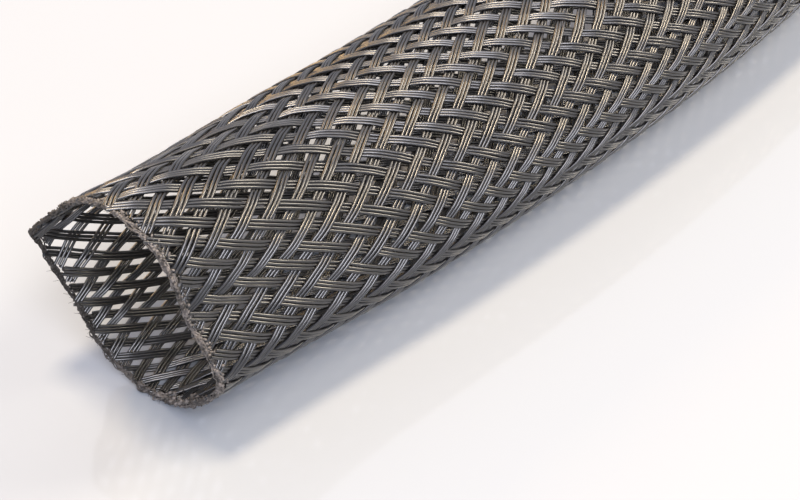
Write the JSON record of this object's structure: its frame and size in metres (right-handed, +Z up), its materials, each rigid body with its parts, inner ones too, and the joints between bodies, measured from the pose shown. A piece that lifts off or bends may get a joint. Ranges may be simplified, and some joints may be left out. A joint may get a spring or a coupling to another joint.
{
  "type": "braided cable sleeve",
  "caption": "One foot of dark expandable braided cable sleeve, lying on its side, with a hand-cut mouth and a plain far end.",
  "frame": {"origin": "on the floor that the sleeve lies on, under the middle of its box", "axes": "+X along the straight far half of the sleeve, away from the hand-cut mouth, +Z up"},
  "size_m": [0.3034, 0.0446, 0.0251],
  "materials": {
    "monofilament": "glossy extruded polyester monofilament, dark charcoal",
    "inner_monofilament": "glossy extruded polyester monofilament, near black"
  },
  "bodies": {
    "root": {"right_hand_strands": "monofilament", "left_hand_strands": "inner_monofilament"}
  },
  "joints": []
}
